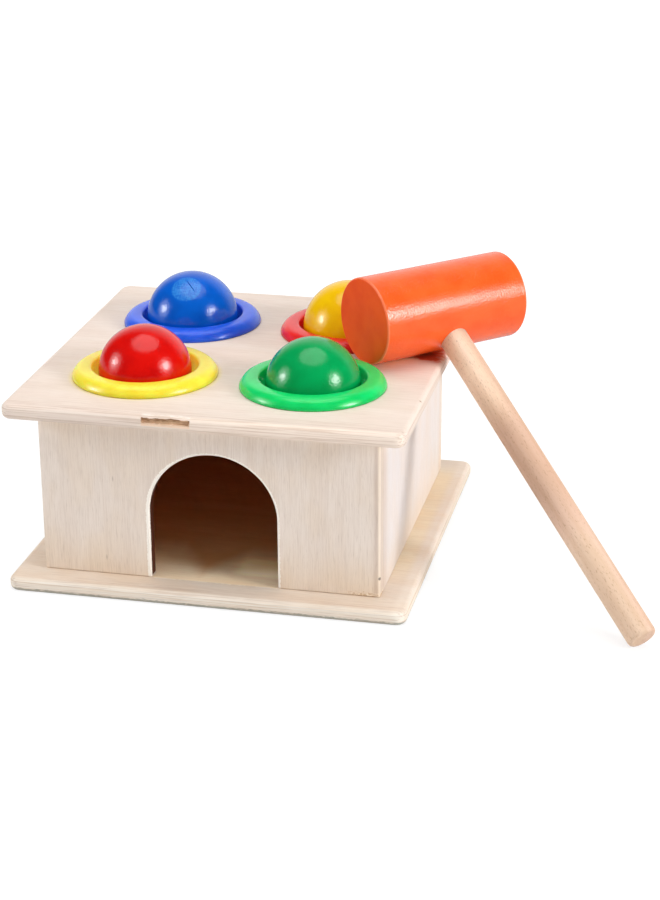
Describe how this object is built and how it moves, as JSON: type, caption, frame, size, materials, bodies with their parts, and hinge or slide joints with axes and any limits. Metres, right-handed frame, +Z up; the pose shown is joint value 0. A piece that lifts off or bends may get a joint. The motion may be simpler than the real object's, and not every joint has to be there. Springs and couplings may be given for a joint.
{
  "type": "ball pounding bench",
  "caption": "Square wooden box toy: painted balls sit in soft rings in its top board, are knocked through with the hammer that leans on it, and roll out of an arched doorway.",
  "frame": {"origin": "centre of the base board's underside, on the surface that the box stands on", "axes": "+Z up, +X to the right along the front, +Y to the back; the doorway faces -Y and the hammer leans on the +X side"},
  "size_m": [0.1843, 0.1192, 0.0828],
  "materials": {
    "top_ply": "bare sanded birch plywood, fine pale grain, plies showing at the edges",
    "base_ply": "bare sanded birch plywood, plies showing at the edges",
    "wall_ply": "bare sanded plywood, fine upright grain",
    "beech": "bare turned beech with short dark flecks",
    "orange_paint": "orange-red satin paint on turned wood, faintly pitted",
    "red_paint": "red gloss paint on a turned wooden ball",
    "green_paint": "green gloss paint on a turned wooden ball",
    "blue_paint": "blue gloss paint on a turned wooden ball",
    "yellow_paint": "yellow gloss paint on a turned wooden ball",
    "yellow_plastic": "soft satin moulded plastic",
    "green_plastic": "soft satin moulded plastic",
    "blue_plastic": "soft satin moulded plastic",
    "red_plastic": "soft satin moulded plastic"
  },
  "bodies": {
    "box": {"base_board": "base_ply", "top_board": "top_ply", "front_wall": "wall_ply", "back_wall": "wall_ply", "left_wall": "wall_ply", "right_wall": "wall_ply", "yellow_ring": "yellow_plastic", "green_ring": "green_plastic", "blue_ring": "blue_plastic", "red_ring": "red_plastic"},
    "red_ball": {"red_ball": "red_paint"},
    "green_ball": {"green_ball": "green_paint"},
    "blue_ball": {"blue_ball": "blue_paint"},
    "yellow_ball": {"yellow_ball": "yellow_paint"},
    "hammer": {"hammer_head": "orange_paint", "hammer_handle": "beech"}
  },
  "joints": [
    {"name": "red_ball_drop", "type": "slide", "parent": "box", "child": "red_ball", "axis": [0, 0, 1], "range_m": [-0.04, 0], "deforming": ["yellow_ring"]},
    {"name": "green_ball_drop", "type": "slide", "parent": "box", "child": "green_ball", "axis": [0, 0, 1], "range_m": [-0.0391, 0], "deforming": ["green_ring"]},
    {"name": "blue_ball_drop", "type": "slide", "parent": "box", "child": "blue_ball", "axis": [0, 0, 1], "range_m": [-0.04, 0], "deforming": ["blue_ring"]},
    {"name": "yellow_ball_drop", "type": "slide", "parent": "box", "child": "yellow_ball", "axis": [0, 0, 1], "range_m": [-0.0399, 0], "deforming": ["red_ring"]},
    {"name": "hammer_lift", "type": "slide", "parent": "box", "child": "hammer", "axis": [0, 0, 1], "range_m": [0, 0.08]}
  ]
}
